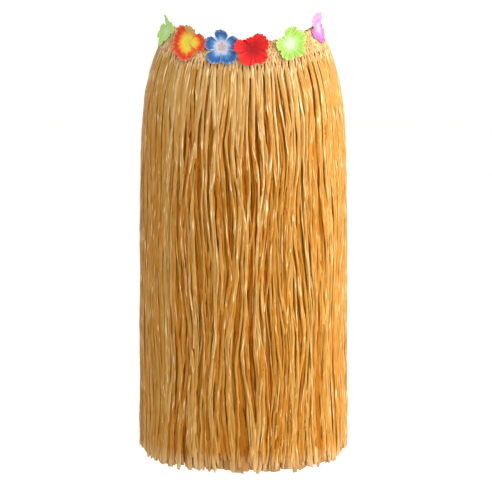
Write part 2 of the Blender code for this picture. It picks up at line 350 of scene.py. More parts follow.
def raffia(name, tones, roughness, gloss, painted_top_shading, painted_glint, pale_end):
    """Crinkled polypropylene: tones by strip and wrinkle, with pale dashes painted on as glints.

    Each strip's tone also picks its own slice of the noises, so no two strips have the same wrinkles. The
    tone is shifted just below the header and again further down: painted light and shade by height.
    """
    material = bpy.data.materials.new(name)
    material.use_nodes = True
    tree = material.node_tree
    shader = tree.nodes["Principled BSDF"]
    tone = add_node(tree, "ShaderNodeAttribute", attribute_name="tone")
    uv = add_node(tree, "ShaderNodeUVMap", uv_map="UVMap")
    across, along = 1000 / WRINKLE_ACROSS_MM, 1000 / WRINKLE_ALONG_MM
    fine = add_node(tree, "ShaderNodeMapping", {"Vector": uv.outputs["UV"], "Scale": (across, along, 1)})
    wrinkle = add_node(tree, "ShaderNodeTexNoise", {
        "Vector": fine.outputs["Vector"], "Scale": 1.0, "Detail": 3.0, "Roughness": 0.6, "Distortion": 0.3,
    }, noise_dimensions="4D")
    wrinkle_slice = add_node(tree, "ShaderNodeMath", {
        0: tone.outputs["Fac"], 1: WRINKLE_OF_TONE,
    }, operation="MULTIPLY")
    tree.links.new(wrinkle_slice.outputs[0], wrinkle.inputs["W"])
    spread = add_node(tree, "ShaderNodeMath", {
        0: wrinkle.outputs["Fac"], 1: WRINKLE_SPREAD, 2: -WRINKLE_SPREAD / 2,
    }, operation="MULTIPLY_ADD")
    place = add_node(tree, "ShaderNodeTexCoord")
    height = add_node(tree, "ShaderNodeSeparateXYZ", {"Vector": place.outputs["Object"]})
    # painted light and shade by height: the shift at the top lightens the face strips and header and darkens
    # the strips behind
    painted_height_shading = add_node(tree, "ShaderNodeMapRange", {
        "Value": height.outputs["Z"], "From Min": TOP_LEVEL, "From Max": DEEP_LEVEL,
        "To Min": painted_top_shading, "To Max": DEEP_SHIFT,
    })
    shifted = add_node(tree, "ShaderNodeMath", {
        0: tone.outputs["Fac"], 1: spread.outputs[0],
    }, operation="ADD")
    lowered = add_node(tree, "ShaderNodeMath", {
        0: shifted.outputs[0], 1: painted_height_shading.outputs["Result"],
    }, operation="ADD")
    ramp = add_node(tree, "ShaderNodeValToRGB", {"Fac": lowered.outputs[0]})
    elements = ramp.color_ramp.elements
    while len(elements) < len(tones):
        elements.new(0.5)
    for element, (place, hex_value) in zip(elements, tones):
        element.position = place
        element.color = colour(hex_value)
    end = add_node(tree, "ShaderNodeMapRange", {
        "Value": height.outputs["Z"], "From Min": HEM_LEVEL + PALE_END_LENGTH, "From Max": HEM_LEVEL,
        "To Max": 0.7,
    })
    # painted glints: pale dashes where a noise stretched along the strip is high, more of them near the waist
    long_scale = (1000 / GLINT_ACROSS_MM, 1000 / GLINT_ALONG_MM, 1)
    coarse = add_node(tree, "ShaderNodeMapping", {"Vector": uv.outputs["UV"], "Scale": long_scale})
    glint_noise = add_node(tree, "ShaderNodeTexNoise", {
        "Vector": coarse.outputs["Vector"], "Scale": 1.0, "Detail": 2.0, "Roughness": 0.5, "Distortion": 0.4,
    }, noise_dimensions="4D")
    glint_slice = add_node(tree, "ShaderNodeMath", {
        0: tone.outputs["Fac"], 1: GLINT_OF_TONE,
    }, operation="MULTIPLY")
    tree.links.new(glint_slice.outputs[0], glint_noise.inputs["W"])
    glint_mask = add_node(tree, "ShaderNodeMapRange", {
        "Value": glint_noise.outputs["Fac"], "From Min": GLINT_FROM, "From Max": GLINT_TO, "To Max": 0.75,
    })
    glints_near_top = add_node(tree, "ShaderNodeMapRange", {
        "Value": height.outputs["Z"], "From Min": -0.55, "From Max": -0.10, "To Min": 0.8, "To Max": 1.2,
    })
    glint_amount = add_node(tree, "ShaderNodeMath", {
        0: glint_mask.outputs["Result"], 1: glints_near_top.outputs["Result"]}, operation="MULTIPLY")
    glinted = add_node(tree, "ShaderNodeMix", {
        "Factor": glint_amount.outputs[0], "A": ramp.outputs["Color"], "B": colour(painted_glint),
    }, data_type="RGBA")
    paler = add_node(tree, "ShaderNodeMix", {
        "Factor": end.outputs["Result"], "A": glinted.outputs["Result"], "B": colour(pale_end),
    }, data_type="RGBA")
    tree.links.new(paler.outputs["Result"], shader.inputs["Base Color"])
    bump = add_node(tree, "ShaderNodeBump", {
        "Height": wrinkle.outputs["Fac"], "Strength": 0.8, "Distance": WRINKLE_DEPTH_MM / 1000,
    })
    tree.links.new(bump.outputs["Normal"], shader.inputs["Normal"])
    rough = add_node(tree, "ShaderNodeMapRange", {
        "Value": wrinkle.outputs["Fac"], "From Min": 0.3, "From Max": 0.7,
        "To Min": roughness - 0.08, "To Max": roughness + 0.10,
    })
    tree.links.new(rough.outputs["Result"], shader.inputs["Roughness"])
    shader.inputs["IOR"].default_value = IOR_POLYPROPYLENE
    shader.inputs["Specular IOR Level"].default_value = gloss
    shader.inputs["Subsurface Weight"].default_value = 0.4
    shader.inputs["Subsurface Radius"].default_value = (0.8, 0.9, 1.0)
    shader.inputs["Subsurface Scale"].default_value = 0.0025
    return material


# One raffia in three ramps: the between and under ramps are darker copies of the face's, painted shade for
# the strips behind.
FACE_TONES = ((0.0, "945A12"), (0.35, "A07129"), (0.65, "A9834A"), (1.0, "BC9C6E"))
BETWEEN_TONES = ((0.0, "783B07"), (0.25, "985A10"), (0.5, "9E6E29"), (0.75, "A58044"), (1.0, "B69260"))
UNDER_TONES = ((0.0, "85480B"), (0.5, "8E5714"), (1.0, "9D6A28"))
# After the gloss come a tone shift at the top (painted light on the face strips, painted shade on the strips
# behind), the colour of the painted glints and the colour of the cut ends.
face_raffia = raffia("polypropylene_raffia_face", FACE_TONES, 0.28, 0.08, 0.19, "E6CEA4", "BCA078")
between_raffia = raffia("polypropylene_raffia_between_painted_shade", BETWEEN_TONES, 0.36, 0.03, -0.50, "C6A062", "BCA078")
under_raffia = raffia("polypropylene_raffia_under_painted_shade", UNDER_TONES, 0.50, 0.02, -0.35, "A87830", "B08E60")
print("raffia materials made")

# %% [markdown]
# ## The hanging grass
#
# No two strips hang alike. Each one sways a little with its neighbours, wanders on its own, leans, turns
# over and ends where the scissors happened to cut. All of that is sums of sine waves with random phases,
# which stay smooth however the numbers fall. Nothing may move in the header, so every wave grows from zero
# below it.

# %% Wandering paths
ARC_NAMES = ("left", "front", "right", "back")
ARC_SHARE = 0.25
FREE_DROP = 0.16
SWAY_REACH = 0.005
SWAY_LENGTH = 0.42
SWAYS_ROUND = 5
KNOTTED_DROP = 0.20
LOOSE_ABOVE = 0.012
LOOSE_BELOW = 0.03
NARROWS_FROM = 0.09
NARROWS_TO = 0.28
SPLAY_LENGTH = 0.16
HOOK_STEP = 0.002

# how much calmer, wider, flatter and shorter the strips are at the two sides, and where that begins
CALM_SIDES = 0.8
CALM_FROM = 0.50
CALM_TO = 0.98
SIDE_WIDTH = 0.25
SIDE_FLATNESS = 0.40
SIDE_CUT = 0.014
SIDE_CUT_FROM = 0.8


def waves(drop, random, rows):
    """Sum of sines a sin(2 pi drop / length + phase), a random phase for each strip, rows (a, length)."""
    total = np.zeros_like(drop)
    for reach, length in rows:
        phase = random.uniform(0, 2 * np.pi, (len(drop), 1))
        strength = random.uniform(0.4, 1.3, (len(drop), 1))
        total += reach * strength * np.sin(2 * np.pi * drop / length + phase)
    return total


def ease(value, low, high):
    """Smooth step 3t^2 - 2t^3 from 0 at low to 1 at high."""
    t = np.clip((value - low) / (high - low), 0, 1)
    return t * t * (3 - 2 * t)


# reach in metres and length of one wave in metres
OWN_WAVES = ((0.0030, 0.36), (0.0016, 0.17), (0.0007, 0.09), (0.0003, 0.04))
RIPPLE_WAVES = ((0.0007, 0.21), (0.0005, 0.08))

# share of the strip's width, or angle in radians, and length of one wave in metres
WIDTH_WAVES = ((0.16, 0.19), (0.12, 0.07), (0.05, 0.03))
TURN_WAVES = ((0.5, 0.33), (0.35, 0.11), (0.15, 0.045))
ARCH_WAVES = ((0.08, 0.24), (0.06, 0.06))
FOLD_WAVES = ((0.07, 0.17), (0.06, 0.07), (0.03, 0.03))
MEAN_ARCH = 0.16

# reach in metres, turns round the skirt, drop for one turn of drift
CLUMPS = ((0.0034, 23, 1.9), (0.0032, 41, -1.3), (0.0016, 61, 0.8))


def clumping(root, drop):
    """Strips gather into locks: sideways a sin(2 pi (n root + drop / drift)), for three sizes of lock."""
    total = np.zeros_like(drop)
    for reach, turns, drift in CLUMPS:
        total += reach * np.sin(2 * np.pi * (turns * root + drop / drift))
    return total


# reach in metres, or change of tone, with turns round the skirt and phase
HEM_WAVES = ((0.003, 17, 0), (0.002, 43, 1))
# painted light and shade by lock: the tone rises and falls round the skirt, so some locks look as if they
# stood back in shade
BUNDLE_PAINTED_SHADE = ((0.11, 17, 0), (0.11, 41, 2))
HEM_TRIM = 0.002


def round_waves(root, rows):
    """Sum of sines a sin(2 pi turns root + phase) round the skirt, rows are (a, turns, phase)."""
    return sum(reach * np.sin(2 * np.pi * turns * root + phase) for reach, turns, phase in rows)


def cut_length(root, layer, random):
    """Fall length less a cut that wanders along the hem, with a few strips cut much shorter."""
    short = random.uniform(0, 1, len(root)) ** 4 * layer["shortest_cut"]
    short += SIDE_CUT * ease(np.abs(np.sin(angle_at(root))), SIDE_CUT_FROM, 1.0)
    ragged = random.uniform(0, layer["ragged"], len(root))
    return fall_length(root) - HEM_TRIM - ragged - short + round_waves(root, HEM_WAVES)


def hanging(name, arc, strips, rings, layer, material, random):
    """One arc of one layer of strips. layer holds its sizes in metres; see the table below.

    A strip hooks over the elastic (a half circle of curl), runs down the header side by side with its
    neighbour on the same knot, and is free below it. calm goes from 1 at the front to 0.2 at the sides.
    """
    root = (ARC_NAMES.index(arc) + 0.5 + (np.arange(strips) + 0.5) / strips) * ARC_SHARE
    root += random.uniform(-0.25, 0.25, strips) * ARC_SHARE / strips
    knot = np.floor(np.arange(strips) / 2) * 2 + 1
    knot = (ARC_NAMES.index(arc) + 0.5 + knot / strips) * ARC_SHARE
    calm = 1 - CALM_SIDES * ease(np.abs(np.sin(angle_at(root))), CALM_FROM, CALM_TO)[:, None]
    length = cut_length(root, layer, random)
    start = layer["start_drop"]
    drop = start + (length[:, None] - start) * np.linspace(0, 1, rings)
    curl = np.linspace(-0.5, 1, layer["hook_rings"]) * np.pi
    hook_drop = -BAND_CLEAR * np.sin(np.maximum(curl, 0)) + np.maximum(-curl, 0) / np.pi * 2 * BAND_HEIGHT
    hook_out = BAND_MIDDLE - BAND_CLEAR * np.cos(np.maximum(curl, 0))
    drop = np.concatenate([np.broadcast_to(hook_drop, (strips, len(curl))), drop], axis=1)
    below = np.maximum(drop, 0)
    free = ease(below, HEADER_HEIGHT, HEADER_HEIGHT + FREE_DROP)
    loose = ease(below, HEADER_HEIGHT - LOOSE_ABOVE, HEADER_HEIGHT + LOOSE_BELOW)
    risen = ease(below, HEADER_HEIGHT - LOOSE_ABOVE, HEADER_HEIGHT + layer["rise"])
    lean = random.normal(0, layer["lean"], (strips, 1)) * np.maximum(below - HEADER_HEIGHT, 0)
    sway = SWAY_REACH * np.sin(2 * np.pi * (below / SWAY_LENGTH + SWAYS_ROUND * root[:, None]))
    own = waves(below, random, OWN_WAVES)
    own = calm * layer["wander"] * (own + clumping(root[:, None], below))
    gathered = layer["knotted"] * (knot - root)[:, None] * (1 - ease(below, HEADER_HEIGHT, KNOTTED_DROP))
    share = root[:, None] + gathered + (free * (sway + own) + lean * calm) / girth(drop)

    level = random.uniform(*layer["levels"], (strips, 1))
    level = level + (1 - calm) * (layer["side_level"] - level)
    ripple = waves(below, random, RIPPLE_WAVES)
    out = layer["root_out"] + (level - layer["root_out"]) * risen + ripple * free * calm
    out[:, :len(curl)] = hook_out

    wide = layer["width"] * random.lognormal(0, layer["width_spread"], (strips, 1))
    wide = wide * (1 + SIDE_WIDTH * (1 - calm))
    wide = wide * (1 - layer["narrowing"] * ease(below, NARROWS_FROM, NARROWS_TO))
    wide = wide * (1 + layer["splay"] * ease(below - length[:, None], -SPLAY_LENGTH, 0))
    width = layer["root_width"] + (wide - layer["root_width"]) * loose
    width = width * (1 + waves(below, random, WIDTH_WAVES) * free)
    tip = ease(length[:, None] - below, -0.001, layer["tip"])
    blunt = random.uniform(0.4, 0.8, (strips, 1))
    width = width * (blunt + (1 - blunt) * tip)
    turn = waves(below, random, TURN_WAVES) * free * calm * layer["turning"]
    bowed = 1 - SIDE_FLATNESS * (1 - calm)
    arch = (MEAN_ARCH + waves(below, random, ARCH_WAVES) * loose) * width * bowed
    fold = waves(below, random, FOLD_WAVES) * loose * width * bowed
    thickness = np.full_like(drop, layer["thickness"])
    tone = round_waves(root, BUNDLE_PAINTED_SHADE) + random.normal(0, layer["tone_spread"], strips)
    # painted light and shade at the sides: the face strips darker and the strips behind lighter, evening out
    # the shade between them
    tone = 0.5 + tone * calm[:, 0] + layer["side_painted_shading"] * (1 - calm[:, 0])
    tone = np.clip(tone, 0.02, 0.98)
    points = carry_profiles(share, drop, out, width, thickness, arch, fold, turn, layer["corners"])
    made = ribbon_mesh(name, points, drop, width, tone, material)
    made["flat_width"] = float(width.mean() * strips)
    made["flat_length"] = float((length - start).mean() + len(curl) * HOOK_STEP)
    return made


# %% [markdown]
# The grass is built in four layers. The face strips are folded over the elastic and pass through the
# header, two to a knot; they are the bright ones that stand proud. The outer strips fill in between them,
# painted darker near the header as painted shade. The middle layer starts just under the band. The under
# layer is the inner half of each folded bundle, which hangs inside the band, and its darker tones close the
# gaps with a painted amber shadow: the strips behind the face all carry darker copies of the face's colours
# as painted shade. At the two sides, where the hips stretch the grass, every layer lies calmer, flatter and
# closer to one level, and painted light and shade bring the layers to one tone: the face strips darker, the
# strips behind lighter.

# %% Sizes of the four layers
BAND_MIDDLE = -0.00235
BAND_CLEAR = 0.0020

FACE_LAYER = {
    "start_drop": 0.0015, "hook_rings": 10, "root_out": 0.0000, "levels": (-0.0002, 0.0012),
    "root_width": 0.0037, "width": 0.0070, "width_spread": 0.24, "thickness": 0.0006, "lean": 0.018,
    "ragged": 0.007, "shortest_cut": 0.030, "tip": 0.008, "turning": 0.7, "tone_spread": 0.13, "corners": 10,
    "wander": 1.0, "splay": 0.15, "narrowing": 0.28, "rise": 0.03, "knotted": 0.52, "side_painted_shading": -0.28,
    "side_level": 0.0003,
}
OUTER_LAYER = {
    "start_drop": 0.0135, "hook_rings": 0, "root_out": -0.0026, "levels": (-0.0014, -0.0002),
    "root_width": 0.0040, "width": 0.0066, "width_spread": 0.26, "thickness": 0.0006, "lean": 0.021,
    "ragged": 0.007, "shortest_cut": 0.030, "tip": 0.008, "turning": 0.8, "tone_spread": 0.15, "corners": 6,
    "wander": 1.0, "splay": 0.3, "narrowing": 0.10, "rise": 0.16, "knotted": 0.0, "side_painted_shading": 0.30,
    "side_level": -0.0003,
}
MIDDLE_LAYER = {
    "start_drop": 0.0135, "hook_rings": 0, "root_out": -0.0040, "levels": (-0.0030, -0.0014),
    "root_width": 0.0050, "width": 0.0070, "width_spread": 0.22, "thickness": 0.0007, "lean": 0.018,
    "ragged": 0.009, "shortest_cut": 0.030, "tip": 0.008, "turning": 0.8, "tone_spread": 0.22, "corners": 6,
    "wander": 0.8, "splay": 0.6, "narrowing": 0.15, "rise": 0.20, "knotted": 0.0, "side_painted_shading": 0.40,
    "side_level": -0.0011,
}
UNDER_LAYER = {
    "start_drop": 0.0025, "hook_rings": 0, "root_out": -0.0044, "levels": (-0.0050, -0.0036),
    "root_width": 0.0050, "width": 0.0100, "width_spread": 0.10, "thickness": 0.0007, "lean": 0.003,
    "ragged": 0.007, "shortest_cut": 0.020, "tip": 0.008, "turning": 0.4, "tone_spread": 0.22, "corners": 6,
    "wander": 0.12, "splay": 0.6, "narrowing": 0.0, "rise": 0.10, "knotted": 0.0, "side_painted_shading": 0.40,
    "side_level": -0.0036,
}

# name, strips in each arc, rings along each strip, sizes, material, slot
LAYERS = (
    ("grass_face", 36, 104, FACE_LAYER, face_raffia, "raffia"),
    ("grass_outer", 44, 90, OUTER_LAYER, between_raffia, "raffia"),
    ("grass_middle", 50, 52, MIDDLE_LAYER, under_raffia, "raffia_under"),
    ("grass_under", 60, 32, UNDER_LAYER, under_raffia, "raffia_under"),
)

# %% Make the grass
random = np.random.default_rng(1946)
for layer_name, strips, rings, layer, material, slot_name in LAYERS:
    for arc in ARC_NAMES:
        piece = hanging(f"{layer_name}_{arc}", arc, strips, rings, layer, material, random)
        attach(piece, "root")

PANELS_PER_ARC = 4
for place, arc in enumerate(ARC_NAMES):
    panels = [(2 + PANELS_PER_ARC * place + step) % 16 + 1 for step in range(PANELS_PER_ARC)]
    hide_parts(f"outer_grass_{arc}")
    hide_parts(*[f"under_grass_{panel:02d}" for panel in panels])

# %% [markdown]
# ## The elastic waistband
#
# Flat braided elastic, about 12 mm wide, relaxed a little so that it ripples. It is a ring whose profile is
# a rounded strip on edge. Only its top edge shows, dark between the folded strips.

# %% Band
BAND_THICKNESS = 0.0015
BAND_RIPPLE = 0.00018
BAND_RIPPLES = 180
BAND_RINGS = 1440
BAND_CORNERS = 12


def round_band(name, material):
    """A strip on edge all round: superellipse profile, its middle moved by ripple sin(2 pi ripples share)."""
    share = np.arange(BAND_RINGS) / BAND_RINGS
    q = 2 * np.pi * np.arange(BAND_CORNERS) / BAND_CORNERS
    corner_drop = -np.sign(np.cos(q)) * np.abs(np.cos(q)) ** 0.5 * BAND_HEIGHT / 2
    corner_out = np.sign(np.sin(q)) * np.abs(np.sin(q)) ** 0.5 * BAND_THICKNESS / 2
    wave = BAND_RIPPLE * np.sin(2 * np.pi * BAND_RIPPLES * share)
    out = BAND_MIDDLE + wave[:, None] + corner_out
    points = skirt_point(angle_at(share)[:, None], BAND_HEIGHT / 2 + corner_drop, out)
    return closed_ring_mesh(name, points, share * girth(0), BAND_HEIGHT, material)


def closed_ring_mesh(name, points, along, round_profile, material):
    """Quads between the profiles of a ring that meets itself. UV is metres along the ring and round it."""
    rings, corners, _ = points.shape
    number = np.arange(rings * corners).reshape(rings, corners)
    onward, beside = np.roll(number, -1, axis=0), np.roll(number, -1, axis=1)
    quads = np.stack([number, onward, np.roll(onward, -1, axis=1), beside], axis=-1)
    step = along[1] - along[0]
    u = np.stack([along, along + step, along + step, along], axis=-1)[:, None, :]
    around = np.arange(corners) / corners * 2 * round_profile
    v = np.stack([around, around, around + around[1], around + around[1]], axis=-1)[None]
    uv = np.stack(np.broadcast_arrays(u, v), axis=-1)
    starts = 4 * np.arange(rings * corners)
    made = new_object(name, points.reshape(-1, 3), quads.ravel(), starts, uv.reshape(-1, 2), material,
                      np.full(rings * corners, 0.5))
    print(f"{name}: {2 * len(starts)} triangles")
    return made


# %% Elastic webbing material
RIB_MM = 0.9


def webbing(name, dark, light):
    """Braided elastic: ribs along the band crossed by finer picks, matt, a little lighter on the ribs."""
    material = bpy.data.materials.new(name)
    material.use_nodes = True
    tree = material.node_tree
    shader = tree.nodes["Principled BSDF"]
    uv = add_node(tree, "ShaderNodeUVMap", uv_map="UVMap")
    scaled = add_node(tree, "ShaderNodeMapping", {"Vector": uv.outputs["UV"], "Scale": (1000 / RIB_MM,) * 3})
    ribs = add_node(tree, "ShaderNodeTexWave", {
        "Vector": scaled.outputs["Vector"], "Scale": 0.3,
    }, bands_direction="Y")
    picks = add_node(tree, "ShaderNodeTexWave", {
        "Vector": scaled.outputs["Vector"], "Scale": 0.5,
    }, bands_direction="X")
    woven = add_node(tree, "ShaderNodeMath", {
        0: ribs.outputs["Fac"], 1: picks.outputs["Fac"],
    }, operation="MULTIPLY")
    mixed = add_node(tree, "ShaderNodeMix", {
        "Factor": woven.outputs[0], "A": colour(dark), "B": colour(light),
    }, data_type="RGBA")
    bump = add_node(tree, "ShaderNodeBump", {
        "Height": woven.outputs[0], "Strength": 0.7, "Distance": 0.0003,
    })
    tree.links.new(mixed.outputs["Result"], shader.inputs["Base Color"])
    tree.links.new(bump.outputs["Normal"], shader.inputs["Normal"])
    shader.inputs["Roughness"].default_value = 0.85
    return material


elastic = webbing("braided_elastic_webbing", "22150D", "4C3523")
band = round_band("elastic_waistband", elastic)
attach(band, "root")
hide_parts("waistband")

# %% [markdown]
# ## The plaited header
#
# Below the elastic the strips are plaited: half of them slant one way, half the other, and they pass over
# and under each other, which leaves a skin of small diamonds. In a plain weave every crossing in a row has
# the same strand on top, so one cosine of the drop, with opposite signs for the two slants, weaves them
# all. Under the last crossing the strands turn down and slip behind the face strips.

# %% The plait
PLAITS = 132
PLAIT_SLANT = 0.46
PLAIT_LIFT = 0.00035
PLAIT_OUT = 0.0013
PLAIT_START = -0.0006
PLAIT_END = 0.060
PLAIT_RINGS = 30
PLAIT_WIDTH = 0.0064
PLAIT_GIRTH = girth(0.015)
WOVEN_ABOVE = 0.008
TURNS_DOWN_ABOVE = 0.004
plait_pitch = PLAIT_GIRTH / PLAITS
crossing_step = plait_pitch / (2 * PLAIT_SLANT)


def plait(name, slant, material, random):
    """Strands at share s0 + slant k d, out = base + slant A cos(pi d / crossing step), ends tucked in."""
    root = (np.arange(PLAITS)[:, None] + 0.5 * (slant > 0)) / PLAITS
    drop = np.broadcast_to(np.linspace(PLAIT_START, PLAIT_END, PLAIT_RINGS), (PLAITS, PLAIT_RINGS))
    woven = 1 - ease(drop, HEADER_HEIGHT - WOVEN_ABOVE, HEADER_HEIGHT + WOVEN_ABOVE / 2)
    straight_drop = HEADER_HEIGHT - TURNS_DOWN_ABOVE
    slanting = np.minimum(drop, straight_drop) + 0.35 * np.maximum(drop - straight_drop, 0)
    wander = waves(drop, random, ((0.0003, 0.013), (0.0004, 0.03)))
    share = root + (slant * PLAIT_SLANT * slanting + wander) / PLAIT_GIRTH
    lift = slant * PLAIT_LIFT * np.cos(np.pi * (drop - 0.002) / crossing_step) * woven
    tucked = 0.0016 * (1 - ease(drop, -0.0006, 0.0022)) + 0.0030 * ease(drop, HEADER_HEIGHT, PLAIT_END)
    out = PLAIT_OUT + lift - tucked
    width = PLAIT_WIDTH + waves(drop, random, ((0.0004, 0.02), (0.0003, 0.009)))
    width = width * (1 - 0.45 * (1 - woven))
    thickness = np.full_like(drop, 0.0008)
    arch = 0.14 * width
    fold = waves(drop, random, ((0.05, 0.02),)) * width
    turn = waves(drop, random, ((0.12, 0.03),))
    tone = np.clip(random.normal(0.55, 0.22, PLAITS), 0.02, 0.98)
    points = carry_profiles(share, drop, out, width, thickness, arch, fold, turn, 6)
    made = ribbon_mesh(name, points, drop, width, tone, material)
    made["flat_width"] = float(width.mean() * PLAITS)
    made["flat_length"] = float((PLAIT_END - PLAIT_START) * np.hypot(1, 0.8 * PLAIT_SLANT))
    return made


HEADER_TONES = ((0.0, "946630"), (0.4, "A67C46"), (0.75, "B48E5E"), (1.0, "C4A67C"))
# The header gets the same painted light at the top and the same painted glints.
header_raffia = raffia("polypropylene_raffia_header", HEADER_TONES, 0.50, 0.2, 0.18, "C8AA7C", "C4A880")
plaits = [
    plait("header_plait_right", 1, header_raffia, random),
    plait("header_plait_left", -1, header_raffia, random),
]
for piece in plaits:
    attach(piece, "root")

# %% [markdown]
# ## The cloth flowers
#
# Each flower is one thin piece of polyester, cut by a die and pressed hot so that veins stand up along the
# petals. It is a polar grid: the rim reaches furthest at the middle of each petal, the surface cups
# outwards and ruffles towards the rim. The grid is laid on the skirt with the same share, drop and out as
# everything else, so the flower bends round the waist as it would when sewn on.

# %% Flower shape
FLOWER_RADIUS = 0.0325
LOBE_ROUNDNESS = 0.42
FLOWER_SEAT = 0.0025
CLOTH_THICKNESS = 0.0006
FLOWER_COLUMNS = 180
FLOWER_RINGS = 26
VEINS_ROUND = 37
VEIN_HEIGHT = 0.00030
STITCH_REACH = 0.004
STITCH_DEPTH = 0.0004


def petal_shares(flower, around):
    """For each direction: reach, blend of the petals' curls, 1 on a petal to 0 in a gap, 1 where turned over.

    A petal is a lobe cos(90 degrees (a - place) / half width) ^ 0.42 between its own gaps. The largest lobe
    is the rim.
    """
    places, half_widths, reaches, curls, turned = np.array(flower["petals"], dtype=float).T[:, :, None]
    away = (np.degrees(around) - places + 180) % 360 - 180
    across = np.clip(np.abs(away) / half_widths, 0, 1)
    lobes = np.cos(across * np.pi / 2) ** LOBE_ROUNDNESS
    rim = FLOWER_RADIUS * (flower["core"] + (reaches - flower["core"]) * lobes).max(axis=0)
    nearness = np.exp(-(away / (0.55 * half_widths)) ** 2)
    curl = (nearness * curls).sum(axis=0) / nearness.sum(axis=0)
    over = (nearness * turned).sum(axis=0) / nearness.sum(axis=0)
    return rim, curl, lobes.max(axis=0), over


def flower_surface(flower, around, reach):
    """Local right, up and out of a flower's front face.

    Each direction is an arc of length R and total bend c: r = R sin(c s) / c, out = R (1 - cos(c s)) / c. To
    that come a frill of the rim, ruffles s^3 sin(k a), pressed veins cos(37 a) and a small pucker
    exp(-(r / 4 mm)^2) where it is stitched.
    """
    rim, curl, lobe, _ = petal_shares(flower, around)
    frill = 0.004 + 22 * flower["ruffle"]
    rim = rim * (1 + frill * (np.sin(23 * around + flower["seed"]) + 0.75 * np.sin(41 * around)))
    bend = curl * reach
    radius = rim * np.sin(bend) / curl
    out = FLOWER_SEAT + rim * (1 - np.cos(bend)) / curl * (0.35 + 0.65 * lobe)
    ruffle = np.sin(13 * around + flower["seed"]) + 0.7 * np.sin(19 * around + 2 * flower["seed"])
    out = out + flower["ruffle"] * (ruffle + 1.2) * reach ** 3
    pressed = ease(reach, 0.15, 0.5) * (1 - 0.6 * ease(reach, 0.85, 1.0))
    out = out + VEIN_HEIGHT * np.cos(VEINS_ROUND * around) * pressed
    out = out - STITCH_DEPTH * np.exp(-(radius / STITCH_REACH) ** 2)
    return radius * np.cos(around), radius * np.sin(around), out


def make_flower(flower, material):
    """Front and back grids of a flower, joined round the rim and closed at the middle: one thin shell."""
    around = 2 * np.pi * np.arange(FLOWER_COLUMNS) / FLOWER_COLUMNS
    reach = (np.arange(FLOWER_RINGS) + 1)[:, None] / FLOWER_RINGS
    right, up, out = flower_surface(flower, around, reach)
    centre = flower_surface(flower, around[:1], np.zeros((1, 1)))
    middle_share = share_at(np.radians(flower["degrees"]))

    def place(local_right, local_up, local_out):
        share = middle_share + local_right / girth(flower["drop"])
        return skirt_point(angle_at(share), flower["drop"] - local_up, local_out).reshape(-1, 3)

    points = np.concatenate([
        place(centre[0], centre[1], centre[2] + CLOTH_THICKNESS),
        place(right, up, out + CLOTH_THICKNESS),
        place(*centre),
        place(right, up, out),
    ])
    side = FLOWER_RINGS * FLOWER_COLUMNS + 1
    grid = 1 + np.arange(side - 1).reshape(FLOWER_RINGS, FLOWER_COLUMNS)
    under = grid + side
    grid_on, under_on = np.roll(grid, -1, axis=1), np.roll(under, -1, axis=1)
    front_quads = np.stack([grid[:-1], grid[1:], grid_on[1:], grid_on[:-1]], axis=-1)
    back_quads = np.stack([under[:-1], under_on[:-1], under_on[1:], under[1:]], axis=-1)
    rim_quads = np.stack([grid[-1], under[-1], under_on[-1], grid_on[-1]], axis=-1)
    front_fan = np.stack([np.zeros_like(grid[0]), grid[0], grid_on[0]], axis=-1)
    back_fan = np.stack([np.full_like(grid[0], side), under_on[0], under[0]], axis=-1)
    quads = np.concatenate([front_quads.reshape(-1, 4), back_quads.reshape(-1, 4), rim_quads])
    fans = np.concatenate([front_fan, back_fan])
    face_corners = np.concatenate([quads.ravel(), fans.ravel()])
    fan_starts = 4 * len(quads) + 3 * np.arange(len(fans))
    face_starts = np.concatenate([4 * np.arange(len(quads)), fan_starts])

    rim, _, lobe, over = petal_shares(flower, around)
    flat = reach[..., None] * rim[:, None] * np.stack([np.cos(around), np.sin(around)], axis=-1)
    flat = flat.reshape(-1, 2) / (2 * FLOWER_RADIUS) + 0.5
    middle_uv = np.full((1, 2), 0.5)
    point_uv = np.concatenate([middle_uv, flat, middle_uv, flat])
    corner_uv = point_uv[face_corners]
    made = new_object(flower["name"], points, face_corners, face_starts, corner_uv, material)
    values = {
        "reach": np.broadcast_to(reach, right.shape),
        "petal": np.broadcast_to(lobe, right.shape),
        "back": over * ease(reach, 0.45, 0.7),
    }
    for label, front in values.items():
        behind = 1 - front if label == "back" else front
        both = np.concatenate([[0], front.ravel(), [label == "back"], behind.ravel()])
        kept = made.data.attributes.new(label, "FLOAT", "POINT")
        kept.data.foreach_set("value", both.astype(np.float32))
    made["flat_area"] = float(np.sum(rim ** 2) / 2 * (2 * np.pi / FLOWER_COLUMNS))
    triangles = 2 * len(quads) + len(fans)
    print(f"{flower['name']}: {triangles} triangles, {made['flat_area'] * 1e4:.1f} cm2 of cloth")
    return made


# %% [markdown]
# The colours are printed in rings that follow the petals, and they bleed into each other along the fibres.
# One material function takes the colours from the middle to the rim, and noise makes the edges between them
# feathery. The back of the cloth is paler, which shows where a petal curls over.

# %% Printed polyester
THREAD_MM = 0.7
BLEED = 0.36


